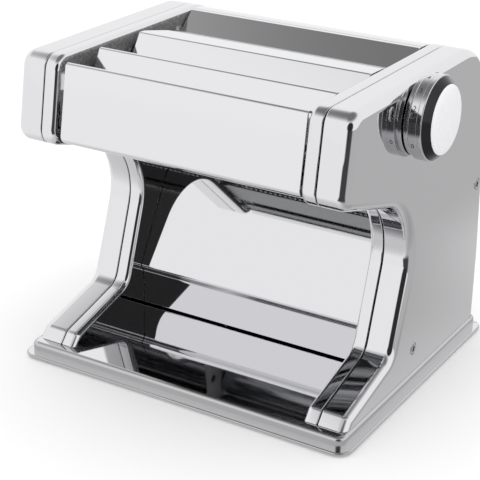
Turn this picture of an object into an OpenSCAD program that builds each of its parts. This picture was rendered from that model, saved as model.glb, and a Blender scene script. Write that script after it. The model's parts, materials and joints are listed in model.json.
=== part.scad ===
// Pasta roller machine: a jointed assembly in millimetres, +Z up, X to the right, front at -Y.
// Gears and rollers are drawn in the (Y, Z) plane and run along X.

/* [Body] */
// Width of the base over its lip
base_w = 231; // [215:1:260]
// Depth of the base over its lip
base_d = 200; // [196:1:215]
// Height of the base's top face
base_h = 10; // [9:0.5:12]
// Thickness of the cover sheet
sheet = 1.2; // [1:0.1:1.5]
// Outer edge radius of the outer shells
edge_r = 6; // [4:0.5:8]
// Edge radius of the inner shells
rim_r = 3.5; // [2:0.5:5]

/* [Rollers] */
// Radius of the sheet rollers
roll_r = 14; // [13:0.25:14.5]
// Smallest gap between the sheet rollers
roll_gap = 0.3; // [0.2:0.1:1]
// Throw of the eccentric shaft
throw = 1.2; // [0.8:0.1:1.5]
// Radius of the cutter rollers
cut_r = 9; // [8.8:0.1:9.2]
// Pitch of the thin cutter
thin_pitch = 4; // [3:0.5:5]
// Pitch of the wide cutter
wide_pitch = 13; // [10:0.5:16]

/* [Knob] */
// Radius of the thickness knob
knob_r = 25; // [20:0.5:28]
// Travel of the knob when it is pulled out
knob_pull = 4; // [3:0.5:5]
// Length of the knob from its foot to the front of the dial ring
knob_l = 11.3; // [10.5:0.1:13]
// Length of the dial ring
ring_l = 3;
// Length of the knob's hub on the shaft
hub_l = 4;
// Gap between the knob's foot and the cover
knob_gap = 0.6;

/* [Fits] */
// Running clearance on a radius
run = 0.05; // [0.02:0.01:0.1]
// Clearance of parts that touch
seat = 0.02; // [0.01:0.01:0.05]

/* [Hidden] */
$fn = 64;
half = base_w / 2 - 5.5;
rim_x = half - 28;
part_x = half - 18.5;
gap_x = 0.35;
fr_x = rim_x + sheet + seat;
fr_t = 3;
fr_o = fr_x + fr_t;
ax = fr_o + 1.8;
bx = ax + 7;
gw = 5;
bridge_x = bx + gw + 1.6;
bridge_t = 2;
top_z = 200.5;
span = rim_x - 0.4;
motor_l = 131.2;
blade_x = rim_x - 5.2;
floor_z = base_h + seat + sheet + seat;
foot_x = half - 8;
foot_y = [-40, 15, base_d / 2 - 34];

// axes as [y, z]
s2 = [15, 179];
adj = [15 - 2 * roll_r - roll_gap - throw, 179];
s1 = adj + [throw, 0];
sheet_m = (2 * roll_r + roll_gap) / 14;
sheet_slack = 0.35 + 0.8 * throw;
sheet_lean = 1.2833 * throw;
n_f = [-86.6, 160];
n_r = [-69.4, 160];
w_f = [-49.6, 160];
w_r = [-32.4, 160];
cut_m = 17.2 / 12;
dm = 2;
id1 = s2 + 48 * [cos(-45), sin(-45)];
pin = id1 + 44 * [cos(-86), sin(-86)];
id2 = meet(s2, w_r, 32, 26);
id3 = meet(w_r, n_r, 22, 22, -1);
screws = [[-52.5, 190], [81.2, 106.5], [-2.6, 26.3]];
feet = [for (x = [-1, 1], y = [-1, 1]) [x * (base_w / 2 - 19), y * (base_d / 2 - 19)]];
rail = [-89.2, 189];

// side profile: [y, z, corner radius, arc steps], clockwise with the front on the left
prof = [
  [-90, base_h + seat, 0.5, 2], [-83.5, 17.3, 5, 4], [-31, 31.3, 12, 6], [-2.5, 118.5, 40, 12],
  [-103, 148.6, 10, 6], [-94.9, top_z, 10, 6], [84.8, top_z, 38, 10], [89.6, 150, 0, 0],
  [92.2, 120, 0, 0], [94.1, 88, 0, 0], [95.5, 60, 300, 6],
  [94.5, base_h + seat, 1, 2]
];

front_n = 42;

function meet(a, b, ra, rb, s = 1) = let (
    d = norm(b - a), u = (b - a) / d,
    k = (ra * ra - rb * rb + d * d) / (2 * d), h = sqrt(ra * ra - k * k))
  a + k * u + s * h * [-u[1], u[0]];
function dir(a, b) = atan2(b[1] - a[1], b[0] - a[0]);
function dist(a, b) = norm(b - a);
function unit(v) = v / norm(v);
function xy(p) = [p[0], p[1]];
function rn(t) = [t[1], -t[0]];

// inset of the profile by d on every edge except the last one, which moves by db
function corner_in(p, i, d, db) = let (
    n = len(p), a = xy(p[(i + n - 1) % n]), b = xy(p[i]), c = xy(p[(i + 1) % n]),
    n1 = rn(unit(b - a)), n2 = rn(unit(c - b)),
    d1 = i == 0 ? db : d, d2 = i == n - 1 ? db : d,
    det = n1[0] * n2[1] - n1[1] * n2[0])
  b + [(d1 * n2[1] - d2 * n1[1]) / det, (n1[0] * d2 - n2[0] * d1) / det];
function arc_at(q0, q, q1, r, m) = let (
    t1 = unit(q - q0), t2 = unit(q1 - q), cr = t1[0] * t2[1] - t1[1] * t2[0],
    sg = cr < 0 ? -1 : 1, ph = acos(min(1, t1 * t2)), l = r * tan(ph / 2),
    s = q - t1 * l, c = s - sg * rn(t1) * r, a0 = atan2(s[1] - c[1], s[0] - c[0]))
  [for (k = [0:m]) c + r * [cos(a0 + sg * ph * k / m), sin(a0 + sg * ph * k / m)]];
function convex_at(a, b, c) = (b[0] - a[0]) * (c[1] - b[1]) - (b[1] - a[1]) * (c[0] - b[0]) < 0;
function ring(p, d, db = 0) = let (
    n = len(p), q = [for (i = [0:n - 1]) corner_in(p, i, d, db)])
  [for (i = [0:n - 1]) let (
      a = q[(i + n - 1) % n], b = q[i], c = q[(i + 1) % n],
      r = convex_at(a, b, c) ? max(0.1, p[i][2] - d) : p[i][2] + d)
    each (p[i][3] == 0 ? [b] : arc_at(a, b, c, r, p[i][3]))];
// triangles between the front chain i and the rear chain j of a ring, both upwards
function zip(r, i, j, ni, nj) = let (n = len(r))
  i == ni && j == nj ? [] :
  j == nj || (i < ni && r[i + 1][1] <= r[n - 2 - j][1])
    ? concat([[i, i + 1, n - 1 - j]], zip(r, i + 1, j, ni, nj))
    : concat([[i, n - 2 - j, n - 1 - j]], zip(r, i, j + 1, ni, nj));

// outline of a bent sheet: path points [y, z, radius], thickness to the right of travel
function soft(p) = [for (i = [0:len(p) - 1])
    each (i == 0 || i == len(p) - 1 || p[i][2] == 0 ? [xy(p[i])]
      : arc_at(xy(p[i - 1]), xy(p[i]), xy(p[i + 1]), p[i][2], 6))];
function side_of(q, t) = [for (i = [0:len(q) - 1]) let (
    a = i == 0 ? q[0] - (q[1] - q[0]) : q[i - 1],
    c = i == len(q) - 1 ? q[i] + (q[i] - q[i - 1]) : q[i + 1],
    n1 = rn(unit(q[i] - a)), n2 = rn(unit(c - q[i])), b = n1 + n2)
  q[i] + t * 2 * b / (b * b)];
function strip(p, t) = let (q = soft(p), s = side_of(q, t))
  concat(q, [for (i = [len(s) - 1:-1:0]) s[i]]);

// involute gear outline; a tooth sits at angle th
function inv(a) = tan(a) * 180 / PI - a;
function half_at(r, rp, n, pa, bl) = let (rb = rp * cos(pa), a = r > rb ? acos(rb / r) : 0)
  90 / n - bl + inv(pa) - inv(a);
function gear_pts(n, m, th, pa, slack) = let (
    rp = n * m / 2, ra = rp + 0.86 * m, rr = rp - 1.2 * m, rb = max(rp * cos(pa), rr + 0.1),
    rs = [rr, rb, (rb + rp) / 2, rp, (rp + ra) / 2, ra], bl = slack == 0 ? 4.5 / n : slack)
  [for (k = [0:n - 1]) let (c = th + k * 360 / n)
    each concat([for (j = [0:5]) rs[j] * [cos(c - half_at(rs[j], rp, n, pa, bl)),
                                         sin(c - half_at(rs[j], rp, n, pa, bl))]],
                [for (j = [5:-1:0]) rs[j] * [cos(c + half_at(rs[j], rp, n, pa, bl)),
                                            sin(c + half_at(rs[j], rp, n, pa, bl))]])];
// tooth angle of gear b in mesh with gear a
function mesh(ta, na, nb, phi) = phi + 180 - (0.5 - (phi - ta) * na / 360) * 360 / nb;

th_s2 = 0;
th_s1 = mesh(th_s2, 14, 14, 180) - sheet_lean;
th_dr = 0;
th_i1 = mesh(th_dr, 16, 32, dir(s2, id1));
th_pn = mesh(th_i1, 32, 12, dir(id1, pin));
th_i2 = mesh(th_dr, 16, 16, dir(s2, id2));
th_wb = mesh(th_i2, 16, 10, dir(id2, w_r));
th_i3 = mesh(th_wb, 10, 12, dir(w_r, id3));
th_nb = mesh(th_i3, 12, 10, dir(id3, n_r));
th_cf = mesh(0, 12, 12, 180);

module mir(s) { if (s < 0) { mirror([1, 0, 0]) children(); } else { children(); } }
module along(x0, x1) { translate([x0, 0, 0]) rotate([90, 0, 90]) linear_extrude(x1 - x0) children(); }
module rod(p, r, x0, x1) {
  translate([x0, p[0], p[1]]) rotate([0, 90, 0]) cylinder(r = r, h = x1 - x0);
}
module box(a, b) { translate(a) cube(b - a); }
module skin(rs) {
  n = len(rs[0][1]);
  m = len(rs);
  ni = front_n - 1;
  nj = n - 1 - front_n;
  lo = zip(rs[0][1], 0, 0, ni, nj);
  hi = zip(rs[m - 1][1], 0, 0, ni, nj);
  polyhedron(
    points = [for (r = rs) each [for (p = r[1]) [r[0], p[0], p[1]]]],
    faces = concat(
      [for (t = lo) [t[2], t[1], t[0]]],
      [for (t = hi) [for (k = t) (m - 1) * n + k]],
      [for (j = [0:m - 2], i = [0:n - 1])
        [j * n + i, j * n + (i + 1) % n, (j + 1) * n + (i + 1) % n, (j + 1) * n + i]]),
    convexity = 8);
}
module gear(p, n, m, th, x0, w, bore, pa = 25, slack = 0) {
  difference() {
    along(x0, x0 + w) translate(p) polygon(gear_pts(n, m, th, pa, slack));
    rod(p, bore, x0 - 1, x0 + w + 1);
  }
}

// ---- covers ----
// rings of a cup that is open at o and closed at f, with edge radius r
function cup(o, f, r) = concat(
  [for (k = [3:-1:0]) let (a = k * 30, q = r - sheet)
    [f - r + q * sin(a), ring(prof, sheet + q * (1 - cos(a)), sheet)]],
  [[o, ring(prof, sheet, sheet)], [o, ring(prof, 0)]],
  [for (k = [0:4]) let (a = k * 22.5) [f - r + r * sin(a), ring(prof, r * (1 - cos(a)))]]);
module outer_half() {
  difference() {
    skin(cup(part_x + gap_x, half, edge_r));
    for (s = screws) rod(s, 2.1, half - 4, half + 1);
    for (s = screws) rod(s, 4.2, half - 0.7, half + 1);
    for (y = foot_y) translate([foot_x, y, 0]) cylinder(r = 1.8, h = 14);
  }
}
module left_outer_shell() { color("Gainsboro") mir(-1) outer_half(); }
module right_outer_shell() {
  color("Gainsboro") difference() {
    outer_half();
    rod(adj, 8, half - 6, half + 1);
  }
}
module inner_half() {
  difference() {
    mirror([1, 0, 0]) skin(cup(gap_x - part_x, -rim_x, rim_r));
    along(rim_x - 1, fr_x + 0.5) polygon([
      [-96, 150.5], [-94, 191], [-84, 191], [-84, 186], [-26, 187], [-26, 190.5], [0, 190.5],
      [0, 188], [27, 188], [27, 192], [34, 192], [34, 150], [4, 150], [-21, 127.9]]);
    box([rim_x - 1, 18, 66], [fr_x + 0.5, 84, 134]);
    for (k = [1:3]) rod(tie[k], 4.3, rim_x - 1, fr_x + 0.5);
  }
}
module left_inner_shell() { color("Silver") mir(-1) inner_half(); }
module right_inner_shell() { color("Silver") inner_half(); }
module front_cover() {
  color("WhiteSmoke") along(-blade_x - 1, span)
    polygon(strip([[-90.3, 195.4, 0], [-93.1, 197, 1.2], [-100.3, 151.2, 4], [-91.5, 150, 0]], sheet));
}
module front_rail() {
  color("DimGray") {
    along(-blade_x - 1, span) polygon([
      [-92.55, 193], [-90.4, 193], [-92.5, 179], [-94.75, 179]]);
    for (s = [-1, 1]) mir(s)
      along(span - 0.4 - (s < 0 ? 5 : 0), fr_x - seat)
        polygon([[-92.9, 190], [-90.9, 190], [-92.2, 181], [-94.3, 181]]);
  }
}
module tab(a, b, t) {
  for (s = [-1, 1]) mir(s) along(blade_x - 0.01, fr_x - seat)
    polygon(strip([[a[0], a[1], 0], [b[0], b[1], 0]], t));
}
module front_hopper() {
  color("Silver") {
    along(-blade_x, blade_x) polygon(strip([[-88.9, 190, 0], [-82.4, 173, 0]], 1));
    tab([-85.84, 182], [-83.16, 175], 1);
  }
}
module front_blade() {
  color("WhiteSmoke") {
    along(-blade_x, span)
      polygon(strip([[-75.5, 172.5, 0], [-62.8, 199.6, 1.8], [-60.2, 199.6, 1.8], [-44.5, 170.5, 0]], sheet));
    tab([-74.8, 174], [-71.5, 181], sheet);
    tab([-50, 180.7], [-45.5, 172.3], sheet);
  }
}
module middle_blade() {
  color("WhiteSmoke") {
    difference() {
      along(-blade_x, span)
        polygon(strip([[-40, 172, 0], [-21.4, 200, 1.6], [-5, 199.2, 1.5], [-4.6, 195.6, 0]], sheet));
      translate([-blade_x, -4, 190]) rotate([0, 0, 45]) box([-9, -9, 0], [9, 9, 20]);
    }
    tab([-38.7, 174], [-34, 181], sheet);
  }
}
module back_hopper() {
  color("Silver") {
    along(-blade_x - 4, span) polygon(strip([[28.6, 187.6, 0], [43.6, 199.8, 1.5], [46.5, 199.9, 0]], sheet));
    tab([29, 187.9], [31.5, 189.9], sheet);
  }
}
module mouth_panel() {
  color("WhiteSmoke") along(-span, span)
    polygon(strip([[-1, base_h + seat + 1.2, 0], [-12, base_h + seat + 1.2, 1.5], [-12, 35, 5],
      [-15.4, 38.6, 3], [31.5, 124.6, 3], [38, 124.6, 0]], sheet));
}
module rear_cover() {
  color("Silver") difference() {
    along(-span, span) polygon(strip([[47, 199.9, 0], [83.6, 199.9, 36], [94.3, 60, 60],
      [93.3, base_h + seat, 1.5], [82, base_h + seat, 0]], sheet));
    box([-59, 80, 31], [-31, 99, 51]);
    box([33, 80, 27], [47, 99, 51]);
    for (x = [-60, 0, 60]) translate([x, 88, 0]) cylinder(r = 1.6, h = 20);
  }
}
module cover_screws() {
  color("Gray") for (s = [-1, 1], p = screws) mir(s) {
    rod(p, 3.8, half - 0.7 + seat, half + 0.5);
    rod(p, 1.9, half - 9, half - 0.6);
  }
}
module cover_standoffs() {
  color("DarkGray") for (s = [-1, 1], p = screws) mir(s) difference() {
    rod(p, 3.5, fr_o + seat, half - sheet - seat);
    rod(p, 1.95, half - 10, half);
  }
}

// ---- base ----
module lip_plan(d, r) {
  hull() for (x = [-1, 1], y = [-1, 1])
    translate([x * (base_w / 2 - d - r), y * (base_d / 2 - d - r)]) circle(r = r, $fn = 32);
}
module base_plate() {
  color("Gainsboro") difference() {
    union() {
      translate([0, 0, 1]) linear_extrude(1.8) lip_plan(0, 9);
      translate([0, 0, 1]) linear_extrude(base_h - 1) lip_plan(4, 6);
    }
    translate([0, 0, -1]) linear_extrude(base_h - 0.5) lip_plan(5.5, 4.5);
    for (f = feet) translate([f[0], f[1], 0]) cylinder(r = 2.1, h = 20);
    for (p = base_holes()) translate([p[0], p[1], 0]) cylinder(r = 2.1, h = 20);
  }
}
function base_holes() = concat([for (s = [-1, 1], y = foot_y) [s * foot_x, y]],
  [for (x = [-60, 0, 60]) [x, base_d / 2 - 12]]);
module rubber_feet() {
  color("DarkSlateGray") for (f = feet) translate([f[0], f[1], 0]) difference() {
    cylinder(r1 = 8, r2 = 9, h = base_h - 1.5 - seat);
    translate([0, 0, -1]) cylinder(r = 4.2, h = 4);
    cylinder(r = 2.1, h = 20);
  }
}
module foot_screws() {
  color("Gray") for (f = feet) translate([f[0], f[1], 0]) {
    translate([0, 0, 1]) cylinder(r = 4, h = 2 - seat);
    translate([0, 0, 2.9]) cylinder(r = 2.05, h = base_h - 2.9 - 0.02);
  }
}
module base_screws() {
  color("Gray") for (p = base_holes()) translate([p[0], p[1], 0]) {
    translate([0, 0, base_h - 3.5 - seat]) cylinder(r = 3.6, h = 2.01);
    translate([0, 0, base_h - 2]) cylinder(r = 1.48, h = 5);
  }
}

// ---- frames, rods and bearings ----
jr = 6;
neck_r = 9.2;
bush_r = 7.6;
bush_l = 30;
cr = 4;
function journals() = [[s2, jr], [n_f, cr], [n_r, cr], [w_f, cr], [w_r, cr]];
tie = [[27, 158], [62, 180], [66, 45], [8, 24]];
module frame_half() {
  difference() {
    union() {
      along(fr_x, fr_o) polygon(ring(prof, 3.7, sheet + seat));
      box([fr_o - 0.01, -52, floor_z], [fr_o + 21, 82, floor_z + 2]);
    }
    for (j = journals()) rod(j[0], j[1] + run + 2, fr_x - 1, fr_o + 1);
    for (t = tie) rod(t, 2.1, fr_x - 1, fr_o + 1);
    for (y = foot_y) translate([foot_x, y, 0]) cylinder(r = 1.5, h = 20);
  }
}
module left_frame() {
  color("SlateGray") mir(-1) difference() {
    frame_half();
    rod(adj, 11, fr_x - 1, fr_o + 1);
    rod(pin, 6, fr_x - 1, fr_o + 1);
    for (p = [id1, id2, id3]) rod(p, 3, fr_x - 1, fr_o + 1);
    for (p = bridge_posts) rod(p, 1.6, fr_x - 1, fr_o + 1);
  }
}
module right_frame() {
  color("SlateGray") difference() {
    frame_half();
    rod(adj, 5 + run + 2, fr_x - 1, fr_o + 1);
  }
}
bridge_posts = [[22, 116], [77, 172], [-22, 137], [-36, 186]];
module gear_bridge() {
  color("LightSlateGray") mir(-1) {
    difference() {
      along(bridge_x, bridge_x + bridge_t) polygon([
        [-60, 162], [-58, 181], [-30, 192], [26, 192], [44, 178], [82, 177], [82, 165], [58, 130],
        [28, 108], [14, 110], [-16, 130], [-32, 134]]);
      rod(adj, 4.5 + run + 2, bridge_x - 1, bridge_x + 5);
      rod(s2, jr + run + 0.2, bridge_x - 1, bridge_x + 5);
      rod(w_r, 5, bridge_x - 1, bridge_x + 5);
      for (p = [id1, id2, id3]) rod(p, 3, bridge_x - 1, bridge_x + 5);
    }
    for (p = bridge_posts) rod(p, 3, fr_o + seat, bridge_x);
  }
}
module bush(p, r, x) {
  difference() {
    union() {
      rod(p, r + run + 2 - seat, x - fr_t, x + 0.01);
      rod(p, r + run + 3.2, x + seat, x + 1.2);
    }
    rod(p, r + run, x - fr_t - 1, x + 2);
  }
}
module right_bushings() {
  color("Goldenrod") {
    for (j = journals()) bush(j[0], j[1], fr_o);
    bush(adj, 5, fr_o);
  }
}
module left_bushings() {
  color("Goldenrod") mir(-1) {
    for (j = journals()) bush(j[0], j[1], fr_o);
    difference() {
      rod(adj, 4.5 + run + 2 - seat, bridge_x, bridge_x + bridge_t);
      rod(adj, 4.5 + run, bridge_x - 1, bridge_x + bridge_t + 1);
    }
  }
}
module tie_rods() {
  color("DarkGray") for (t = tie) rod(t, 4, -fr_x + seat, fr_x - seat);
}
module tie_screws() {
  color("Gray") for (s = [-1, 1], t = tie) mir(s) {
    rod(t, 3.4, fr_o + seat, fr_o + 1.6);
    rod(t, 2, fr_x, fr_o + 0.1);
  }
}
module idler_pins() {
  color("DarkGray") mir(-1) for (p = [id1, id2, id3])
    rod(p, 3 - seat, fr_x, bridge_x + bridge_t);
}

// ---- sheet rollers and the adjuster ----
module sheet_roller_rear() {
  color("WhiteSmoke") {
    rod(s2, roll_r, -span + 1, span - 1);
    rod(s2, jr, -bridge_x - bridge_t, fr_o + 1.5);
  }
}
module sheet_roller_front() {
  color("WhiteSmoke") difference() {
    union() {
      rod(s1, roll_r, -span + 1, span - 1);
      rod(s1, neck_r, -bx + 0.7, 0);
    }
    rod(s1, bush_r + run, -bx, span);
  }
}
module adjuster_shaft() {
  color("DarkGray") {
    rod(s1, 6.5, -bx + 0.8, span - 1);
    rod(adj, 4.5, -bridge_x - bridge_t, -bx + 0.9);
    rod(adj, 5, span - 1.1, half + knob_gap + hub_l + knob_pull + 1);
  }
}
module roller_bushes() {
  color("Goldenrod") for (x = [1 - span, span - 1 - bush_l]) difference() {
    rod(s1, bush_r, x, x + bush_l);
    rod(s1, 6.5 + run, x - 1, x + bush_l + 1);
  }
}
module sheet_gear_rear() {
  color("Peru") gear(s2, 14, sheet_m, th_s2, -ax - gw, gw, jr + seat, 20, sheet_slack);
}
module sheet_gear_front() {
  color("Peru") gear(s1, 14, sheet_m, th_s1, -ax - gw, gw, neck_r + seat, 20, sheet_slack);
}
module drive_gear() { color("Peru") gear(s2, 16, dm, th_dr, -bx - gw, gw, jr + seat); }
module motor_idler() { color("Ivory") gear(id1, 32, dm, th_i1, -bx - gw, gw, 3 + run); }
module wide_idler() {
  color("Ivory") gear(id2, 16, dm, th_i2, -bx - gw, gw, 3 + run);
}
module thin_idler() {
  color("Ivory") gear(id3, 12, dm, th_i3, -bx - gw, gw, 3 + run);
}
module motor_pinion() {
  color("Peru") gear(pin, 12, dm, th_pn, -bx - gw, gw, 4 + seat);
}

// ---- cutters ----
function disc_pts(w, pitch, off) = let (n = floor((2 * span - 8) / pitch), x0 = -n * pitch / 2 + off)
  concat([[0, -span + 1]], [[cut_r - 1.1, -span + 1]],
    [for (k = [0:n - 1]) each let (a = x0 + k * pitch)
      [[cut_r - 1.1, a], [cut_r, a], [cut_r, a + w], [cut_r - 1.1, a + w]]],
    [[cut_r - 1.1, span - 1], [0, span - 1]]);
module cutter(p, pitch, off, xl, xr) {
  translate([0, p[0], p[1]]) rotate([0, 90, 0]) rotate_extrude()
    polygon(disc_pts(pitch / 2 - 0.1, pitch, off));
  rod(p, cr, -xl, -span + 1.1);
  rod(p, cr, span - 1.1, xr);
}
module thin_cutter_front() { color("WhiteSmoke") cutter(n_f, thin_pitch, 0, fr_o + 1.5, bx + gw); }
module thin_cutter_rear() {
  color("WhiteSmoke") cutter(n_r, thin_pitch, thin_pitch / 2, bx + gw, bx + gw);
}
module wide_cutter_front() { color("WhiteSmoke") cutter(w_f, wide_pitch, 0, fr_o + 1.5, ax + gw); }
module wide_cutter_rear() {
  color("WhiteSmoke") cutter(w_r, wide_pitch, wide_pitch / 2, bx + gw, ax + gw);
}
module thin_gear_front() { color("Peru") gear(n_f, 12, cut_m, th_cf, bx, gw, cr + seat); }
module thin_gear_rear() {
  color("Peru") {
    gear(n_r, 12, cut_m, 0, bx, gw, cr + seat);
    gear(n_r, 10, dm, th_nb, -bx - gw, gw, cr + seat);
  }
}
module wide_gear_front() { color("Peru") gear(w_f, 12, cut_m, th_cf, ax, gw, cr + seat); }
module wide_gear_rear() {
  color("Peru") {
    gear(w_r, 12, cut_m, 0, ax, gw, cr + seat);
    gear(w_r, 10, dm, th_wb, -bx - gw, gw, cr + seat);
  }
}
// guide strips under the head, parallel to its lower edge
function low(y) = 148.6 - (y + 103) * 30.1 / 100.5;
module guide(y0, y1) {
  along(-blade_x, blade_x) polygon([
    [y0, low(y0) + 4.4], [y0, low(y0) + 5.4], [y1, low(y1) + 5.4], [y1, low(y1) + 4.4]]);
  for (s = [-1, 1]) mir(s) along(blade_x - 0.01, fr_x - seat) polygon([
    [y0 + 2, low(y0 + 2) + 4.4], [y0 + 2, low(y0 + 2) + 5.4],
    [y1 - 2, low(y1 - 2) + 5.4], [y1 - 2, low(y1 - 2) + 4.4]]);
}
module thin_guide() { color("Silver") guide(-90.3, -82); }
module middle_guide() { color("Silver") guide(-74, -46); }
module wide_guide() { color("Silver") guide(-37, -24); }

// ---- knob ----
kx = half + knob_gap;
ring_x = kx + knob_l - ring_l;
module thickness_knob() {
  color("Gainsboro") difference() {
    union() {
      rod(adj, knob_r - 1.8, kx, kx + 3.4);
      rod(adj, knob_r, kx + 2.8, ring_x);
    }
    rod(adj, 5 + run, kx - 1, kx + 30);
    rod(adj, 12, kx + hub_l, kx + 30);
  }
}
module dial_ring() {
  color("Silver") difference() {
    rod(adj, knob_r, ring_x + seat, kx + knob_l);
    rod(adj, 14, ring_x - 1, kx + 30);
  }
}
module knob_cap() {
  color("WhiteSmoke") translate([kx + knob_l + seat, adj[0], adj[1]]) rotate([0, 90, 0]) rotate_extrude()
    polygon(concat([[0, 0], [knob_r - 1, 0], [knob_r - 4.8, 4]],
      [for (a = [10:10:90]) [(knob_r - 4.8) * cos(a), 4 + 3 * sin(a)]]));
}

// ---- motor and electrics ----
module gearbox_case() {
  color("DarkSlateGray") difference() {
    box([-fr_x + seat, pin[0] - 18.5, pin[1] - 26], [-fr_x + 13, pin[0] + 28, pin[1] + 20]);
    box([-fr_x - 1, pin[0] - 15, pin[1] - 22], [-fr_x + 10.5, pin[0] + 24, pin[1] + 16]);
    rod(pin, 6, -fr_x + 9, -fr_x + 14);
  }
}
module output_shaft() {
  color("DarkGray") rod(pin, 4, -bx - gw - 1, -fr_x + 13.5);
}
module motor() {
  color("DimGray") difference() {
    union() {
      rod(pin, 25, -fr_x + 13 + seat, motor_l - fr_x);
      rod(pin, 9, motor_l - fr_x, motor_l - fr_x + 6);
    }
    rod(pin, 4 + run, -fr_x + 10, -fr_x + 16);
  }
}
sw_x = 40;
in_x = -45;
module power_inlet() {
  color("Black") difference() {
    union() {
      box([in_x - 13.8, 80, 31.2], [in_x + 13.8, 95, 50.8]);
      box([in_x - 17, 94.3, 28], [in_x + 17, 97, 54]);
    }
    box([in_x - 11.5, 84, 33.5], [in_x + 11.5, 99, 48.5]);
  }
}
module inlet_pins() {
  color("Silver") for (x = [-6, 0, 6])
    box([in_x + x - 1, 84 + seat, x == 0 ? 42 : 38], [in_x + x + 1, 94, x == 0 ? 46 : 42]);
}
module switch_housing() {
  color("Black") difference() {
    union() {
      box([sw_x - 6.8, 78, 27.2], [sw_x + 6.8, 95, 50.8]);
      box([sw_x - 9, 94.3, 25], [sw_x + 9, 96, 53]);
    }
    box([sw_x - 5.3, 82, 28.8], [sw_x + 5.3, 99, 49.2]);
  }
}
module switch_rocker() {
  color("DarkRed") {
    along(sw_x - 4.9, sw_x + 4.9) polygon([
      [88.5, 30.4], [95.3, 30.2], [97.2, 38], [97.2, 40], [94.4, 48.2], [88.5, 47.6]]);
    rod([91.5, 39], 1.5, sw_x - 5.28, sw_x + 5.28);
  }
}

base_plate();
rubber_feet();
foot_screws();
base_screws();
left_inner_shell();
right_inner_shell();
left_outer_shell();
right_outer_shell();
cover_screws();
cover_standoffs();
left_frame();
right_frame();
gear_bridge();
left_bushings();
right_bushings();
tie_rods();
tie_screws();
idler_pins();
front_cover();
front_rail();
front_hopper();
front_blade();
middle_blade();
back_hopper();
mouth_panel();
rear_cover();
thin_guide();
middle_guide();
wide_guide();
sheet_roller_rear();
sheet_roller_front();
adjuster_shaft();
roller_bushes();
sheet_gear_rear();
sheet_gear_front();
drive_gear();
motor_idler();
wide_idler();
thin_idler();
motor_pinion();
thin_cutter_front();
thin_cutter_rear();
wide_cutter_front();
wide_cutter_rear();
thin_gear_front();
thin_gear_rear();
wide_gear_front();
wide_gear_rear();
thickness_knob();
dial_ring();
knob_cap();
gearbox_case();
output_shaft();
motor();
power_inlet();
inlet_pins();
switch_housing();
switch_rocker();
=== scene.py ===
import json
import math

import bpy
from mathutils import Matrix, Vector

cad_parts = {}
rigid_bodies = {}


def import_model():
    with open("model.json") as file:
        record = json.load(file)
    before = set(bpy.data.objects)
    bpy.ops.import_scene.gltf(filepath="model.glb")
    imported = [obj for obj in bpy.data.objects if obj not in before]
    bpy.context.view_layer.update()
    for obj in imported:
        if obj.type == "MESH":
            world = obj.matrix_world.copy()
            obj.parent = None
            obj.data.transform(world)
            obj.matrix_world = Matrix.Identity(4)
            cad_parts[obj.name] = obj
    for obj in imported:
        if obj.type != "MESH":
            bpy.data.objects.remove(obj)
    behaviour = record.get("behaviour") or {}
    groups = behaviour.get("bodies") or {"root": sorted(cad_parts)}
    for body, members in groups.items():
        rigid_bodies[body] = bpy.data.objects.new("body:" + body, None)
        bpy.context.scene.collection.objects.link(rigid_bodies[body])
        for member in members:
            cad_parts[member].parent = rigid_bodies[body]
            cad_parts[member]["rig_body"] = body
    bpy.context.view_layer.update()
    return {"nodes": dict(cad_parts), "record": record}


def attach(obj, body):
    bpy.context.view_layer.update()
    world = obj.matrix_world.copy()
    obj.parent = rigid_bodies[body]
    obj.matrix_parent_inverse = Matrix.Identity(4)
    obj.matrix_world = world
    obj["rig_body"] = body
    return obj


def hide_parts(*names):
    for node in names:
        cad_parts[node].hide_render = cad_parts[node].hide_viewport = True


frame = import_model()
NODE = frame["nodes"]
SLOT = {entry["node"]: entry["material_slot"] for entry in frame["record"]["subparts"]}
scene = bpy.context.scene
scene.view_settings.view_transform = "Standard"

# lengths are in millimetres, with X along the rollers, Y to the rear and Z up
MM = 0.001
# points of one piece that lie closer than this are one point, in metres
WELD = 2e-6


def linear(code):
    """sRGB hex to the linear colour a shader takes."""
    out = []
    for k in (0, 2, 4):
        c = int(code[k:k + 2], 16) / 255
        out.append(c / 12.92 if c <= 0.04045 else ((c + 0.055) / 1.055) ** 2.4)
    return (*out, 1.0)


# ---------- camera ----------
YAW, PITCH, ROLL = 30.97, 21.42, 0.933
EYE = (0.42218, -0.72977, 0.43427)
PICTURE_PX = 480
FOCAL_PX = 1447.9
SHIFT_PX = -48
SENSOR = 36

yaw, pitch, roll = (math.radians(a) for a in (YAW, PITCH, ROLL))
back = Vector((math.sin(yaw) * math.cos(pitch), -math.cos(yaw) * math.cos(pitch), math.sin(pitch)))
right = Vector((math.cos(yaw), math.sin(yaw), 0))
up = back.cross(right)
side = math.cos(roll) * right + math.sin(roll) * up
top = -math.sin(roll) * right + math.cos(roll) * up
lens = bpy.data.cameras.new("camera")
lens.sensor_width = SENSOR
lens.lens = FOCAL_PX * SENSOR / PICTURE_PX
lens.shift_y = SHIFT_PX / PICTURE_PX
lens.clip_start = 0.05
camera = bpy.data.objects.new("camera", lens)
camera.matrix_world = Matrix((
    (side.x, top.x, back.x, EYE[0]), (side.y, top.y, back.y, EYE[1]),
    (side.z, top.z, back.z, EYE[2]), (0, 0, 0, 1)))
scene.collection.objects.link(camera)
scene.camera = camera


# ---------- picking, editing and cutting ----------
def only(piece):
    """Selects this piece alone."""
    bpy.ops.object.select_all(action="DESELECT")
    piece.select_set(True)
    bpy.context.view_layer.objects.active = piece


def edit(piece):
    """Selects this piece alone and enters edit mode."""
    only(piece)
    bpy.ops.object.mode_set(mode="EDIT")


def turn_outwards():
    """Points every face outwards and leaves edit mode."""
    bpy.ops.mesh.select_all(action="SELECT")
    bpy.ops.mesh.normals_make_consistent(inside=False)
    bpy.ops.object.mode_set(mode="OBJECT")


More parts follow.
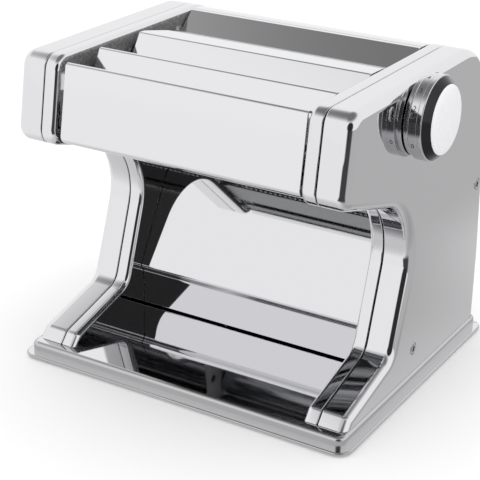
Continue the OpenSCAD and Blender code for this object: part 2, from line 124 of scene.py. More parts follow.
def modify(piece, kind, **settings):
    """Adds a modifier and applies it at once."""
    only(piece)
    mod = piece.modifiers.new(kind.lower(), kind)
    for key, value in settings.items():
        setattr(mod, key, value)
    bpy.ops.object.modifier_apply(modifier=mod.name)


def cut(piece, cutter):
    """Takes the cutter's shape out of the piece and removes the cutter."""
    modify(piece, "BOOLEAN", operation="DIFFERENCE", solver="EXACT", object=cutter)
    bpy.data.objects.remove(cutter)


def join(first, *others):
    """Makes one piece of several, under the first one's name."""
    only(first)
    for other in others:
        other.select_set(True)
    bpy.ops.object.join()


def cube(**settings):
    """A block to cut with; its place, size and turn are in metres and radians."""
    bpy.ops.object.select_all(action="DESELECT")
    bpy.ops.mesh.primitive_cube_add(**settings)
    return bpy.context.object


def line_from(name, start, steps):
    """A line that starts at a point and takes each step in turn; stays in edit mode, selected."""
    bpy.ops.object.select_all(action="DESELECT")
    bpy.ops.mesh.primitive_plane_add(size=MM, location=(0, 0, 0))
    piece = bpy.context.object
    piece.name = name
    bpy.ops.object.mode_set(mode="EDIT")
    bpy.ops.mesh.merge(type="CENTER")
    bpy.ops.transform.translate(value=start)
    for step in steps:
        bpy.ops.mesh.extrude_region_move(TRANSFORM_OT_translate={"value": step})
    bpy.ops.mesh.select_all(action="SELECT")
    return piece


SMOOTH_ANGLE = 32


def finish(piece, body, material, replaces=None):
    """Smooth faces, even normals, a material, and the body that the piece rides on."""
    only(piece)
    bpy.ops.object.shade_smooth_by_angle(angle=math.radians(SMOOTH_ANGLE))
    modify(piece, "WEIGHTED_NORMAL", keep_sharp=True, mode="FACE_AREA_WITH_ANGLE", weight=100)
    piece.data.materials.clear()
    piece.data.materials.append(material)
    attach(piece, body)
    if replaces:
        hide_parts(replaces)
    return piece


def paint_band(piece, x0, x1, material):
    """Gives the faces whose middle lies between x0 and x1 a second material."""
    piece.data.materials.append(material)
    for face in piece.data.polygons:
        if x0 * MM < face.center.x < x1 * MM:
            face.material_index = 1


# ---------- outlines and sheets ----------
def inward(t):
    """The direction to the right of t."""
    return Vector((t.y, -t.x))


def arc_at(a, b, c, r, steps):
    """Points of the arc that rounds corner b between a and c."""
    t1, t2 = (b - a).normalized(), (c - b).normalized()
    turn = -1 if t1.x * t2.y - t1.y * t2.x < 0 else 1
    phi = math.acos(max(-1, min(1, t1.dot(t2))))
    start = b - t1 * r * math.tan(phi / 2)
    mid = start - turn * inward(t1) * r
    a0 = math.atan2(start.y - mid.y, start.x - mid.x)
    angles = [a0 + turn * phi * k / steps for k in range(steps + 1)]
    return [mid + r * Vector((math.cos(angle), math.sin(angle))) for angle in angles]


def soften(path, steps):
    """(a, b, corner radius) points of an open path to plain points with the corners rounded."""
    pts = [Vector(p[:2]) for p in path]
    out = [tuple(pts[0])]
    for i in range(1, len(path) - 1):
        r = path[i][2] if len(path[i]) > 2 else 0
        corner = arc_at(pts[i - 1], pts[i], pts[i + 1], r, steps) if r else [pts[i]]
        out += [tuple(p) for p in corner]
    return out + [tuple(pts[-1])]


# corners of the side outline, from the front foot over the head to the rear: y, z, radius, steps
SIDE = [(-90, 10.02, 0.5, 3), (-83.5, 17.3, 5, 8), (-31, 31.3, 12, 14), (-2.5, 118.5, 40, 32),
        (-103, 148.6, 10, 14), (-94.9, 200.5, 10, 14), (84.8, 200.5, 38, 24), (89.6, 150, 300, 3),
        (92.2, 120, 300, 3), (94.1, 88, 300, 3), (95.5, 60, 200, 6), (94.5, 10.02, 1, 3)]
SHEET = 1.2
# the cut edge of a cover, from inside to outside: x from the mouth, inset, inset at the floor;
# it is rolled in a little, which draws the dark seam between the two covers
ROLLED_EDGE = [(0, SHEET, SHEET), (0, 0.7, 0.35), (0.2, 0.28, 0.15), (0.75, 0, 0)]
PRESS_STEPS = 9


def inset_ring(d, floor):
    """The side outline moved inwards by d, and by floor on its last edge, corners rounded."""
    n = len(SIDE)
    pts = [Vector(c[:2]) for c in SIDE]
    q = []
    for i in range(n):
        n1 = inward((pts[i] - pts[i - 1]).normalized())
        n2 = inward((pts[(i + 1) % n] - pts[i]).normalized())
        d1 = floor if i == 0 else d
        d2 = floor if i == n - 1 else d
        det = n1.x * n2.y - n1.y * n2.x
        q.append(pts[i] + Vector(((d1 * n2.y - d2 * n1.y) / det, (n1.x * d2 - n2.x * d1) / det)))
    out = []
    for i in range(n):
        t1, t2 = pts[i] - pts[i - 1], pts[(i + 1) % n] - pts[i]
        convex = t1.x * t2.y - t1.y * t2.x < 0
        r = max(0.1, SIDE[i][2] - d) if convex else SIDE[i][2] + d
        out += arc_at(q[i - 1], q[i], q[(i + 1) % n], r, SIDE[i][3])
    return out


def cup_rings(mouth, face, r):
    """Rings of a pressed cup, open at x = mouth and closed at x = face, with edge radius r."""
    q = r - SHEET
    quarter = [math.radians(90 * k / PRESS_STEPS) for k in range(PRESS_STEPS + 1)]
    rings = [(face - r + q * math.sin(a), inset_ring(SHEET + q * (1 - math.cos(a)), SHEET))
             for a in reversed(quarter)]
    rings += [(mouth + x, inset_ring(d, floor)) for x, d, floor in ROLLED_EDGE]
    rings += [(face - r + r * math.sin(a), inset_ring(r * (1 - math.cos(a)), 0)) for a in quarter]
    return rings


def loft(name, rings, flip):
    """A closed skin through rings of equal length, at flip * x."""
    n = len(rings[0][1])
    verts = [(flip * x * MM, p.x * MM, p.y * MM) for x, ring in rings for p in ring]
    faces = [tuple(range(n)), tuple((len(rings) - 1) * n + i for i in range(n))]
    for j in range(len(rings) - 1):
        faces += [(j * n + i, j * n + (i + 1) % n, (j + 1) * n + (i + 1) % n, (j + 1) * n + i)
                  for i in range(n)]
    mesh = bpy.data.meshes.new(name)
    mesh.from_pydata(verts, [], faces)
    piece = bpy.data.objects.new(name, mesh)
    scene.collection.objects.link(piece)
    edit(piece)
    turn_outwards()
    return piece


def outline(name, points, x):
    """A line through (y, z) points at x, left in edit mode."""
    steps = [(0, (b[0] - a[0]) * MM, (b[1] - a[1]) * MM) for a, b in zip(points, points[1:])]
    return line_from(name, (x * MM, points[0][0] * MM, points[0][1] * MM), steps)


BEND_STEPS = 10
SHEET_EDGE_ANGLE = 50


def bent_sheet(name, path, x0, x1, thick, round_edge=0.25):
    """A sheet bent along path, drawn from x0 to x1, with its thickness on the right of the path."""
    piece = outline(name, soften(path, BEND_STEPS), x0)
    bpy.ops.mesh.extrude_region_move(TRANSFORM_OT_translate={"value": ((x1 - x0) * MM, 0, 0)})
    turn_outwards()
    a, b = Vector(path[0][:2]), Vector(path[1][:2])
    want = inward((b - a).normalized())
    first = min(piece.data.polygons,
                key=lambda f: (Vector((f.center.y, f.center.z)) / MM - a).length)
    outward = first.normal.y * want.x + first.normal.z * want.y < 0
    modify(piece, "SOLIDIFY", thickness=thick * MM, offset=-1 if outward else 1)
    edit(piece)
    turn_outwards()
    modify(piece, "BEVEL", width=round_edge * MM, segments=3, limit_method="ANGLE",
           angle_limit=math.radians(SHEET_EDGE_ANGLE), harden_normals=False)
    return piece


# ---------- finishes ----------
def add(tree, kind, settings=None, **links):
    """One shader node, its settings, and what each of its inputs is linked to or set to."""
    node = tree.nodes.new(kind)
    for key, value in (settings or {}).items():
        setattr(node, key, value)
    for name, value in links.items():
        by_number = name[0] == "i" and name[1:].isdigit()
        socket = node.inputs[int(name[1:]) if by_number else name]
        if isinstance(value, bpy.types.NodeSocket):
            tree.links.new(value, socket)
        else:
            socket.default_value = value
    return node


def ramp(tree, value, low, high, at_low, at_high):
    """A smooth change from one level to another while value goes from low to high."""
    return add(tree, "ShaderNodeMapRange", {"interpolation_type": "SMOOTHSTEP"},
               i0=value, i1=low, i2=high, i3=at_low, i4=at_high).outputs[0]


def maths(tree, operation, *values):
    """One arithmetic node on values or sockets."""
    links = {f"i{k}": value for k, value in enumerate(values)}
    return add(tree, "ShaderNodeMath", {"operation": operation}, **links).outputs[0]


def blend(tree, factor, at_zero, at_one):
    """From one level to the other as factor goes from 0 to 1."""
    return add(tree, "ShaderNodeMix", i0=factor, i2=at_zero, i3=at_one).outputs[0]


def along_way(tree, value, way):
    """How far a direction points along a fixed way."""
    return add(tree, "ShaderNodeVectorMath", {"operation": "DOT_PRODUCT"},
               i0=value, i1=way).outputs["Value"]


def speckle(tree, scale, detail):
    """Noise that is fixed to the piece."""
    place = add(tree, "ShaderNodeTexCoord")
    noise = add(tree, "ShaderNodeTexNoise", Vector=place.outputs["Object"], Scale=scale,
                Detail=detail)
    return noise.outputs["Fac"]


def coat(name, code, metallic, noise, rough_low, rough_high):
    """A named material whose gloss is broken up by noise: the material, its tree and the noise."""
    mat = bpy.data.materials.new(name)
    mat.use_nodes = True
    tree = mat.node_tree
    shader = tree.nodes["Principled BSDF"]
    shader.inputs["Base Color"].default_value = linear(code)
    shader.inputs["Metallic"].default_value = metallic
    fleck = speckle(tree, *noise)
    gloss = add(tree, "ShaderNodeMapRange", i0=fleck, i3=rough_low, i4=rough_high)
    tree.links.new(gloss.outputs[0], shader.inputs["Roughness"])
    return mat, tree, fleck


def emboss(tree, height, strength, distance):
    """Lets a height bend the reflections of the material's skin."""
    bump = add(tree, "ShaderNodeBump", Strength=strength, Distance=distance, Height=height)
    tree.links.new(bump.outputs[0], tree.nodes["Principled BSDF"].inputs["Normal"])


# noise scale and detail: haze left by the buffing wheel, slow swell from the press, fine grain,
# and the speckle of sheet that was never buffed
BUFFED, SWELL, GRAIN, PICKLED = (260.0, 3.0), (14.0, 0.0), (400.0, 4.0), (700.0, 3.0)
STAINLESS = "E4E4E6"


def polished_steel(name, code, rough, wave=0.0):
    """Stainless sheet, buffed to a mirror: sharp reflections, bent a little by the pressing."""
    mat, tree, _ = coat(name, code, 1.0, BUFFED, rough * 0.8, rough * 1.25)
    if wave:
        emboss(tree, speckle(tree, *SWELL), wave, 0.001)
    return mat


def plain(name, code, rough, metallic=0.0, grain=0.0):
    """Metal, paint or moulding with a fine break-up of its gloss and, with grain, of its skin."""
    mat, tree, fleck = coat(name, code, metallic, GRAIN, rough * 0.85, min(1, rough * 1.2))
    if grain:
        emboss(tree, fleck, grain, 0.0003)
    return mat


def unbuffed_above(mat, z_low, z_high, x_limit):
    """The side wall above the rollers, which the buffing wheel misses: speckled, matt and dark, the
    dark tone painted shade for the hoppers' shade.
    """
    tree = mat.node_tree
    shader = tree.nodes["Principled BSDF"]
    place = add(tree, "ShaderNodeTexCoord")
    where = add(tree, "ShaderNodeSeparateXYZ", i0=place.outputs["Object"])
    on_wall = maths(tree, "LESS_THAN", maths(tree, "ABSOLUTE", where.outputs["X"]), x_limit)
    dull_and_shaded = maths(tree, "MULTIPLY", on_wall, ramp(tree, where.outputs["Z"], z_low, z_high, 0.0, 1.0))
    # the dark speckled grey is partly painted shade: the wall's real speckle, darkened for the
    # shade inside the hoppers
    painted_shade_grey = add(tree, "ShaderNodeMapRange", i0=speckle(tree, *PICKLED), i1=0.3, i2=0.75,
               i3=0.13, i4=0.34)
    tint = add(tree, "ShaderNodeMix", {"data_type": "RGBA"}, i0=dull_and_shaded, i6=linear(STAINLESS),
               i7=painted_shade_grey.outputs[0])
    tree.links.new(tint.outputs[2], shader.inputs["Base Color"])
    buffed = shader.inputs["Roughness"].links[0].from_socket
    tree.links.new(blend(tree, dull_and_shaded, buffed, 0.5), shader.inputs["Roughness"])
    metal = add(tree, "ShaderNodeMapRange", i0=dull_and_shaded, i3=1.0, i4=0.4)
    tree.links.new(metal.outputs[0], shader.inputs["Metallic"])
    return mat


# pressed stainless covers, wheel-buffed: a clear mirror with a slow swell from the press
mirror = polished_steel("mirror_steel", STAINLESS, 0.035, 0.03)
# the same sheet on the inner covers, whose upper wall stays dull and hides in the hoppers' shade,
# which is also painted into its colour as a dark grey
inner_steel = unbuffed_above(polished_steel("pressed_inner_steel", STAINLESS, 0.035, 0.03),
                             0.172, 0.184, 0.0825)
# folded stainless strip, buffed flat: a softer mirror than the covers
panel = polished_steel("panel_steel", "E8E8EA", 0.06, 0.015)
# turned steel, lightly brushed round the axis: broken grey and white bands
brushed_dial = polished_steel("turned_dial_steel", "DCDCDF", 0.12)
# bead-blasted disc under clear lacquer: an even, nearly white face
satin_cap = plain("satin_cap_steel", "E2E2E4", 0.4, 0.1)
# mill-finish strip in the shade under the head: dull, and darkened to grey as painted shade
guide_steel_painted_shade = plain("guide_sheet_painted_shade", "707173", 0.3, 1.0, 0.1)
# dark metal colour on the cap's bevel, a painted dark reflection: a dark ring with a sharp edge
bevel_painted_reflection = plain("bevel_painted_dark_reflection", "3A3A3C", 0.16, 1.0)
# black on the back of the knob's foot, painted shade for the gap: a black line where the knob meets
# the cover
gap_painted_shade = plain("gap_painted_shade_black", "0A0A0A", 0.4)
# ink rubbed into etched numbers: dark grey, matt
etched_ink = plain("etched_number_ink", "2C2C2E", 0.5)
# the rolled rim of the base, as drawn: greyer and softer than the buffed top
rolled_rim = polished_steel("rolled_rim_steel", "C6C6C7", 0.2)
# stamped screw heads, tumbled: small grey discs with dark crosses
screw_steel = plain("screw_steel", "C4C4C6", 0.2, 1.0)
# rollers and cutters, ground between centres: satin grey
ground = plain("ground_steel", "B9BABC", 0.22, 1.0, 0.1)
# zinc-plated plates and rods: pale, matt, faintly spangled
frames = plain("zinc_steel", "D6D7D9", 0.5, 0.15, 0.6)
# pressed and sintered bushes: brown, porous, dull
bronze = plain("sintered_bronze", "9A7748", 0.45, 1.0, 0.3)
# cut steel gears, oiled: mid grey with soft highlights
gears = plain("gear_steel", "808184", 0.35, 1.0, 0.2)
# moulded acetal wheels: ivory and slightly waxy
acetal = plain("acetal", "DAD6C9", 0.5, 0.0, 0.2)
# moulded rubber feet: black and matt
rubber = plain("foot_rubber", "1C1C1C", 0.8, 0.0, 0.6)
# stoved enamel on the motor can: near black with a fine orange peel
motor_paint = plain("motor_paint", "2A2A2C", 0.5, 0.0, 0.4)
# moulded ABS with a spark-eroded grain: black, half matt
black_abs = plain("black_abs", "141414", 0.45, 0.0, 0.4)
# moulded polycarbonate rocker: deep red and glossy
red_abs = plain("red_polycarbonate", "8C1C16", 0.25, 0.0, 0.1)
BY_SLOT = {
    "mirror_steel": mirror, "polished_panel": panel, "roller_steel": ground, "frame_steel": frames,
    "bearing_bronze": bronze, "gear_steel": gears, "gear_plastic": acetal, "foot_rubber": rubber,
    "motor_black": motor_paint, "black_plastic": black_abs, "switch_red": red_abs}
for node, slot in SLOT.items():
    NODE[node].data.materials.clear()
    NODE[node].data.materials.append(BY_SLOT[slot])

# ---------- side covers ----------
# outer face of the right cover, plane where the covers meet, wall of the inner cover
HALF, PART, RIM = 110, 91.5, 82
# half the seam between outer and inner cover, and the radii of their pressed edges
SEAM = 0.35
OUTER_EDGE_R, INNER_EDGE_R = 6, 3.5
SCREW_HOLE_R, TIE_HOLE_R, SHAFT_HOLE_R = 4.2, 4.3, 8
KNOB_Y, KNOB_Z = -14.5, 179
SCREWS = [(-52.5, 190), (81.2, 106.5), (-2.6, 26.3)]
TIES = [(62, 180), (66, 45), (8, 24)]
ROLLER_WINDOW = [
    (-96, 150.5), (-94, 191), (-84, 191), (-84, 186), (-26, 187), (-26, 190.5), (0, 190.5),
    (0, 188), (27, 188), (27, 192), (34, 192), (34, 150), (4, 150), (-21, 127.9)]
DRIVE_WINDOW = [(18, 66), (18, 134), (84, 134), (84, 66)]


def drill(piece, y, z, r, x0, x1):
    """A round hole along X."""
    bpy.ops.object.select_all(action="DESELECT")
    bpy.ops.mesh.primitive_cylinder_add(
        vertices=64, radius=r * MM, depth=abs(x1 - x0) * MM,
        location=((x0 + x1) / 2 * MM, y * MM, z * MM), rotation=(0, math.pi / 2, 0))
    cut(piece, bpy.context.object)


def window(piece, points, x0, x1):
    """An opening with (y, z) corners, from x0 to x1."""
    cutter = outline("window_cutter", points + [points[0]], x0)
    bpy.ops.mesh.remove_doubles(threshold=1e-6)
    bpy.ops.mesh.select_all(action="SELECT")
    bpy.ops.mesh.edge_face_add()
    bpy.ops.mesh.extrude_region_move(TRANSFORM_OT_translate={"value": ((x1 - x0) * MM, 0, 0)})
    turn_outwards()
    # a prism that was extruded from one face stays open at its foot
    edit(cutter)
    bpy.ops.mesh.select_all(action="DESELECT")
    bpy.ops.mesh.select_non_manifold()
    bpy.ops.mesh.edge_face_add()
    turn_outwards()
    cut(piece, cutter)


for word, s in (("left", -1), ("right", 1)):
    outer = loft(word + "_outer_cover", cup_rings(PART + SEAM, HALF, OUTER_EDGE_R), s)
    for y, z in SCREWS:
        drill(outer, y, z, SCREW_HOLE_R, s * (HALF - 0.7), s * (HALF + 1))
    if s == 1:
        drill(outer, KNOB_Y, KNOB_Z, SHAFT_HOLE_R, HALF - 6, HALF + 1)
    finish(outer, "housing", mirror, word + "_outer_shell")
    inner = loft(word + "_inner_cover", cup_rings(SEAM - PART, -RIM, INNER_EDGE_R), -s)
    through_wall = (s * (RIM - 1), s * (RIM + 1.6))
    window(inner, ROLLER_WINDOW, *through_wall)
    window(inner, DRIVE_WINDOW, *through_wall)
    for y, z in TIES:
        drill(inner, y, z, TIE_HOLE_R, *through_wall)
    finish(inner, "housing", inner_steel, word + "_inner_shell")

# ---------- bent sheets ----------
# reach of the sheets to the left, their reach to the right cover, inner side of the frames
BLADE, SPAN, FRAME_IN = 76.8, 81.6, 83.18


def lugs(path):
    """The flat lugs by which a sheet is held in the side frames, one at each end."""
    return [bent_sheet("lug", path, s * (BLADE - 0.5), s * FRAME_IN, SHEET, 0.15) for s in (-1, 1)]


front = bent_sheet(
    "front_panel", [(-90.3, 195.4), (-93.1, 197, 1.2), (-100.3, 151.2, 4), (-91.5, 150)],
    -BLADE - 1, SPAN, SHEET)
finish(front, "housing", panel, "front_cover")

blade = bent_sheet(
    "front_hopper_blade",
    [(-75.5, 172.5), (-62.8, 199.6, 1.8), (-60.2, 199.6, 1.8), (-44.5, 170.5)],
    -BLADE, SPAN, SHEET)
join(blade, *lugs([(-74.8, 174), (-71.5, 181)]), *lugs([(-50, 180.7), (-45.5, 172.3)]))
finish(blade, "housing", panel, "front_blade")

blade = bent_sheet(
    "middle_hopper_blade", [(-40, 172), (-21.4, 200, 1.6), (-5, 199.2, 1.5), (-4.6, 195.6)],
    -BLADE, SPAN, SHEET)
# the left end of its flat top is cropped at an angle
cut(blade, cube(size=18 * MM, location=(-BLADE * MM, -4 * MM, 199 * MM),
                rotation=(0, 0, math.pi / 4)))
join(blade, *lugs([(-38.7, 174), (-34, 181)]))
finish(blade, "housing", panel, "middle_blade")

hopper = bent_sheet(
    "back_hopper_panel", [(28.6, 187.6), (43.6, 199.8, 1.5), (46.5, 199.9)],
    -BLADE - 4, SPAN, SHEET)
join(hopper, *lugs([(29, 187.9), (31.5, 189.9)]))
finish(hopper, "housing", panel, "back_hopper")

mouth = bent_sheet(
    "mouth_sheet",
    [(-1, 11.22), (-12, 11.22, 0.6), (-12, 35, 5), (-15.4, 38.6, 3), (31.5, 124.6, 3), (38, 124.6)],
    -SPAN, SPAN, SHEET)
finish(mouth, "housing", mirror, "mouth_panel")

rear = bent_sheet(
    "rear_sheet",
    [(47, 199.9), (83.6, 199.9, 36), (94.3, 60, 60), (93.3, 10.04, 1.5), (82, 10.04)],
    -SPAN, SPAN, SHEET)
INLET_CUT = ((-59, 80, 31), (-31, 99, 51))
SWITCH_CUT = ((33, 80, 27), (47, 99, 51))
for low, high in (INLET_CUT, SWITCH_CUT):
    cut(rear, cube(size=1, location=[(a + b) / 2 * MM for a, b in zip(low, high)],
                   scale=[(b - a) * MM for a, b in zip(low, high)]))
finish(rear, "housing", panel, "rear_cover")


# ---------- machined and moulded pieces ----------
# degrees: faces that are flatter than this are one face, edges that are sharper are broken
FLAT_ANGLE, SHARP_ANGLE = 0.5, 40


def dressed(node, name, bevel, steps, material=None):
    """A merged copy of a CAD node with broken edges and smooth rounds, in the node's place."""
    source = NODE[node]
    piece = source.copy()
    piece.data = source.data.copy()
    for key in list(piece.keys()):
        del piece[key]
    piece.parent = None
    piece.name = name
    scene.collection.objects.link(piece)
    edit(piece)
    bpy.ops.mesh.select_all(action="SELECT")
    bpy.ops.mesh.remove_doubles(threshold=WELD)
    bpy.ops.mesh.dissolve_limited(angle_limit=math.radians(FLAT_ANGLE))
    bpy.ops.object.mode_set(mode="OBJECT")
    if bevel:
        modify(piece, "BEVEL", width=bevel * MM, segments=steps, limit_method="ANGLE",
               angle_limit=math.radians(SHARP_ANGLE), use_clamp_overlap=True)
    slot = SLOT[node]
    return finish(piece, source["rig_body"], material or BY_SLOT[slot], node)


def rim_edges(piece, width, steps, low, high, x_far, y_far):
    """Rounds the edges of a plate's outer rim that lie between two heights."""
    edit(piece)
    bpy.ops.mesh.select_all(action="DESELECT")
    bpy.ops.object.mode_set(mode="OBJECT")
    for edge in piece.data.edges:
        ends = [piece.data.vertices[i].co / MM for i in edge.vertices]
        edge.select = all(low < e.z < high and (abs(e.x) > x_far or abs(e.y) > y_far) for e in ends)
    bpy.ops.object.mode_set(mode="EDIT")
    bpy.ops.mesh.select_mode(type="EDGE")
    bpy.ops.mesh.bevel(offset=width * MM, segments=steps, affect="EDGES", clamp_overlap=True)
    bpy.ops.mesh.select_mode(type="VERT")
    bpy.ops.object.mode_set(mode="OBJECT")


# the base: a soft shoulder round its top at z = 10, a rolled flange below it, buffed on top only
base = dressed("base_plate", "stamped_base", 0, 0)
rim_edges(base, width=2.6, steps=6, low=9.99, high=10.01, x_far=105, y_far=93)
rim_edges(base, width=0.85, steps=4, low=0.9, high=2.85, x_far=112.5, y_far=97)
only(base)
bpy.ops.object.shade_smooth_by_angle(angle=math.radians(SHARP_ANGLE))
base.data.materials.append(rolled_rim)
for face in base.data.polygons:
    x, y, z = face.center / MM
    if z < 9.98 and (abs(x) > 108 or abs(y) > 93.5):
        face.material_index = 1

# node, name of its piece, width of the broken edge, steps in that edge
for node, name, edge, steps in (
        ("sheet_roller_rear", "rear_sheet_roller", 0.12, 1),
        ("sheet_roller_front", "front_sheet_roller", 0.12, 1),
        ("thin_cutter_front", "front_thin_cutter", 0.12, 1),
        ("thin_cutter_rear", "rear_thin_cutter", 0.12, 1),
        ("wide_cutter_front", "front_wide_cutter", 0.12, 1),
        ("wide_cutter_rear", "rear_wide_cutter", 0.12, 1),
        ("left_frame", "left_frame_plate", 0.2, 1),
        ("right_frame", "right_frame_plate", 0.2, 1),
        ("gear_bridge", "gear_bridge_piece", 0.2, 1),
        ("tie_rods", "tie_rods_piece", 0.2, 1),
        ("front_rail", "front_rail_piece", 0.2, 1),
        ("cover_standoffs", "cover_standoffs_piece", 0.2, 1)):
    dressed(node, name, edge, steps)
# the guides' dark grey is painted shade for the shade under the head
for node in ("thin_guide", "middle_guide", "wide_guide", "front_hopper"):
    dressed(node, node + "_sheet", 0.2, 2, guide_steel_painted_shade)
for node, name, edge in (
        ("rubber_feet", "moulded_feet", 0.6), ("foot_screws", "foot_screw_shanks", 0.2),
        ("base_screws", "base_screw_heads", 0.2), ("tie_screws", "tie_rod_screws", 0.3),
        ("idler_pins", "gear_pins", 0.2), ("left_bushings", "left_flanged_bushes", 0.15),
        ("right_bushings", "right_flanged_bushes", 0.15),
        ("roller_bushes", "roller_end_bushes", 0.15),
        ("adjuster_shaft", "eccentric_shaft", 0.3), ("output_shaft", "gearbox_output_shaft", 0.3),
        ("motor_idler", "large_motor_wheel", 0.15), ("drive_gear", "roller_drive_gear", 0.15),
        ("sheet_gear_rear", "rear_roller_gear", 0.15),
        ("sheet_gear_front", "front_roller_gear", 0.15),
        ("wide_idler", "wide_idler_gear", 0.15), ("thin_idler", "thin_idler_gear", 0.15),
        ("motor_pinion", "motor_drive_pinion", 0.15), ("thin_gear_front", "front_thin_gear", 0.12),
        ("thin_gear_rear", "rear_thin_gears", 0.12), ("wide_gear_front", "front_wide_gear", 0.12),
        ("wide_gear_rear", "rear_wide_gears", 0.12), ("gearbox_case", "gearbox_moulding", 0.8),
        ("motor", "motor_can", 1.2), ("power_inlet", "inlet_moulding", 0.6),
        ("inlet_pins", "inlet_blades", 0.25), ("switch_housing", "switch_bezel", 0.6),
        ("switch_rocker", "rocker_button", 0.8)):
    dressed(node, name, edge, 2)


# ---------- turned pieces ----------
TURN_STEPS = 6


def turned(name, profile, y, z, steps=128):
    """A body of revolution about the line through (y, z) along X, from (x, radius) points."""
    x, r = profile[0]
    line = [((b[0] - a[0]) * MM, 0, (b[1] - a[1]) * MM) for a, b in zip(profile, profile[1:])]
    piece = line_from(name, (x * MM, y * MM, (z + r) * MM), line)
    bpy.ops.mesh.spin(steps=steps, angle=2 * math.pi, center=(0, y * MM, z * MM), axis=(1, 0, 0))
    bpy.ops.mesh.select_all(action="SELECT")
    bpy.ops.mesh.remove_doubles(threshold=WELD)
    turn_outwards()
    return piece


def on_knob_axis(name, path):
    """A ring on the knob's axis: (x from the knob's foot, radius, corner radius), then closed."""
    placed = [(KNOB_FOOT + p[0], *p[1:]) for p in path]
    return turned(name, soften(placed, TURN_STEPS) + [placed[0][:2]], KNOB_Y, KNOB_Z)


KNOB_FOOT = HALF + 0.6
BARREL_R, FOOT_R, GROOVE_R = 25, 23.2, 22.6
BORE_R, CAVITY_R, RING_BORE_R = 5.05, 12, 14
RING_X, RING_END = 8.3, 11.3
RING_FOOT, CAP_FOOT = 8.32, 11.32
DISC_X, DISC_R, DOME = 15.3, 20.2, 3

grip = on_knob_axis("dial_grip", [
    (0, BORE_R), (0, FOOT_R, 0.3), (2.2, FOOT_R, 0.3), (2.5, GROOVE_R, 0.2), (3, GROOVE_R, 0.2),
    (3.5, BARREL_R, 0.5), (RING_X, BARREL_R, 0.2), (RING_X, CAVITY_R), (4, CAVITY_R), (4, BORE_R)])
finish(grip, "knob", brushed_dial, "thickness_knob")
# the back of the knob's foot is painted black: painted shade in the gap against the cover
paint_band(grip, KNOB_FOOT - 0.1, KNOB_FOOT + 0.1, gap_painted_shade)

ring = on_knob_axis("numbered_ring", [
    (RING_FOOT, RING_BORE_R), (RING_FOOT, BARREL_R, 0.2), (RING_END, BARREL_R, 0.6),
    (RING_END, RING_BORE_R)])
finish(ring, "knob", brushed_dial, "dial_ring")

dome = [(KNOB_FOOT + DISC_X + DOME * math.sin(math.radians(a)), DISC_R * math.cos(math.radians(a)))
        for a in range(5, 90, 5)]
cap = turned("domed_cap", [
    (KNOB_FOOT + CAP_FOOT, 0), (KNOB_FOOT + CAP_FOOT, 24), (KNOB_FOOT + DISC_X, DISC_R), *dome,
    (KNOB_FOOT + DISC_X + DOME, 0)], KNOB_Y, KNOB_Z)
finish(cap, "knob", satin_cap, "knob_cap")
# the cap's bevel is painted dark: a painted dark reflection
paint_band(cap, KNOB_FOOT + RING_END + 0.05, KNOB_FOOT + DISC_X - 0.05, bevel_painted_reflection)

# seven plain numbers, one for each step of the thickness joint, 0 lowest at the front
NUMBERS, NUMBER_STEP, NUMBER_START = 7, 25.714, 206
NUMBER_SIZE, NUMBER_X = 4.2, 5.9


def dial_number(digit):
    """A plain etched number on the barrel, read along the axis."""
    bpy.ops.object.select_all(action="DESELECT")
    bpy.ops.object.text_add(location=(0, 0, 0))
    text = bpy.context.object
    text.data.body = str(digit)
    text.data.size = NUMBER_SIZE * MM
    text.data.align_x = "CENTER"
    text.data.align_y = "CENTER"
    text.data.extrude = 0.03 * MM
    text.data.resolution_u = 4
    bpy.ops.object.convert(target="MESH")
    piece = bpy.context.object
    a = math.radians(NUMBER_START - digit * NUMBER_STEP)
    out = Vector((0, math.cos(a), math.sin(a)))
    along = Vector((1, 0, 0))
    rise = out.cross(along)
    spot = Vector((KNOB_FOOT + NUMBER_X, KNOB_Y, KNOB_Z)) * MM + out * (BARREL_R + 0.01) * MM
    piece.matrix_world = Matrix((
        (along.x, rise.x, out.x, spot.x), (along.y, rise.y, out.y, spot.y),
        (along.z, rise.z, out.z, spot.z), (0, 0, 0, 1)))
    bpy.ops.object.transform_apply(location=True, rotation=True, scale=True)
    return piece


numbers = [dial_number(digit) for digit in range(NUMBERS)]
join(*numbers)
numbers[0].name = "dial_numbers"
finish(numbers[0], "knob", etched_ink)

# ---------- screws in the covers ----------
# shank, countersunk seat and low head: x from the cover's face, radius
SCREW_PROFILE = [(-9, 0), (-9, 1.9), (-0.62, 1.9), (-0.62, 3.8), (-0.2, 3.8), (0.2, 3.5),
                 (0.45, 2.6), (0.5, 0)]
CROSS_TURN = 0.35
CROSS_SIZE = (1.6, 4.6, 0.95)

screws = []
for s in (-1, 1):
    for y, z in SCREWS:
        screw = turned("cover_screw", [(s * (HALF + x), r) for x, r in SCREW_PROFILE], y, z, 48)
        for turn in (CROSS_TURN, CROSS_TURN + math.pi / 2):
            cut(screw, cube(size=1, location=(s * HALF * MM, y * MM, z * MM),
                            rotation=(turn, 0, 0), scale=[side_mm * MM for side_mm in CROSS_SIZE]))
        screws.append(screw)
join(*screws)
screws[0].name = "cross_head_screws"
finish(screws[0], "housing", screw_steel, "cover_screws")

# ---------- studio ----------
FLOOR_SIZE, FLOOR_Z = 6, -0.0003
FRONT_WAY = (0.52, -0.854, 0)
DOOR_WAY = (0.497, -0.815, 0.3)

bpy.ops.object.select_all(action="DESELECT")
bpy.ops.mesh.primitive_plane_add(size=FLOOR_SIZE, location=(0, 0, FLOOR_Z))
floor = bpy.context.object
floor.name = "floor"
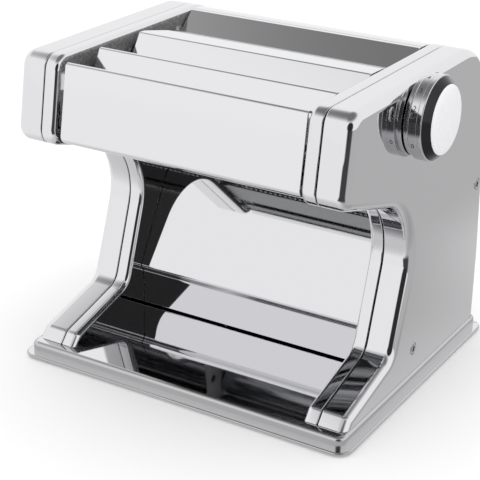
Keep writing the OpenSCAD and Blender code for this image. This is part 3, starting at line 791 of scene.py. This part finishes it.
# matt white board for the camera and for diffuse light; glossy rays see a glowing board instead, a
# painted reflection that falls off to the right, with a painted shadow close to the machine and a
# painted dark patch in front of it
board = bpy.data.materials.new("white_board_painted_reflection")
board.use_nodes = True
tree = board.node_tree
paint = tree.nodes["Principled BSDF"]
paint.inputs["Base Color"].default_value = (0.9, 0.9, 0.9, 1)
paint.inputs["Roughness"].default_value = 1
paint.inputs["Specular IOR Level"].default_value = 0
spot = add(tree, "ShaderNodeNewGeometry").outputs["Position"]
where = add(tree, "ShaderNodeSeparateXYZ", i0=spot)
far = add(tree, "ShaderNodeVectorMath", {"operation": "LENGTH"}, i0=spot).outputs["Value"]
heading = add(tree, "ShaderNodeVectorMath", {"operation": "NORMALIZE"}, i0=spot).outputs[0]
# painted dark reflection: the glow goes nearly black in front of the machine
painted_dark_front = ramp(tree, along_way(tree, heading, FRONT_WAY), 0.84, 0.94, 0.0, 1.0)
painted_dark_front = maths(tree, "MULTIPLY", painted_dark_front, ramp(tree, far, 0.27, 0.4, 0.0, 1.0))
# painted reflection, dimmer to the right
painted_reflection_level = blend(tree, painted_dark_front, ramp(tree, where.outputs["X"], 0.08, 0.22, 0.98, 0.52), 0.06)
# painted shadow: the glow falls off close to the machine
painted_reflection_level = maths(tree, "MULTIPLY", painted_reflection_level, ramp(tree, far, 0.15, 0.32, 0.68, 1.0))
# the glow that only glossy rays see, a painted reflection
painted_reflection_glow = add(tree, "ShaderNodeEmission", Strength=painted_reflection_level)
path = add(tree, "ShaderNodeLightPath")
pick = add(tree, "ShaderNodeMixShader", i0=path.outputs["Is Glossy Ray"], i1=paint.outputs[0],
           i2=painted_reflection_glow.outputs[0])
tree.links.new(pick.outputs[0], tree.nodes["Material Output"].inputs["Surface"])
floor.data.materials.append(board)

# a white tent with a grey ceiling and a dark door towards the viewer, which only the steel sees
world = bpy.data.worlds.new("white_tent")
scene.world = world
world.use_nodes = True
tree = world.node_tree
sky = tree.nodes["Background"]
sight = add(tree, "ShaderNodeTexCoord").outputs["Generated"]
aim = add(tree, "ShaderNodeSeparateXYZ", i0=sight)
ceiling = ramp(tree, aim.outputs["Z"], 0.62, 0.93, 1.0, 0.2)
door = ramp(tree, along_way(tree, sight, DOOR_WAY), 0.83, 0.92, 0.0, 1.0)
path = add(tree, "ShaderNodeLightPath")
level = blend(tree, path.outputs["Is Glossy Ray"], 1.3, blend(tree, door, ceiling, 0.03))
level = blend(tree, path.outputs["Is Camera Ray"], level, 1.0)
tree.links.new(level, sky.inputs["Strength"])
sky.inputs["Color"].default_value = (1, 1, 1, 1)
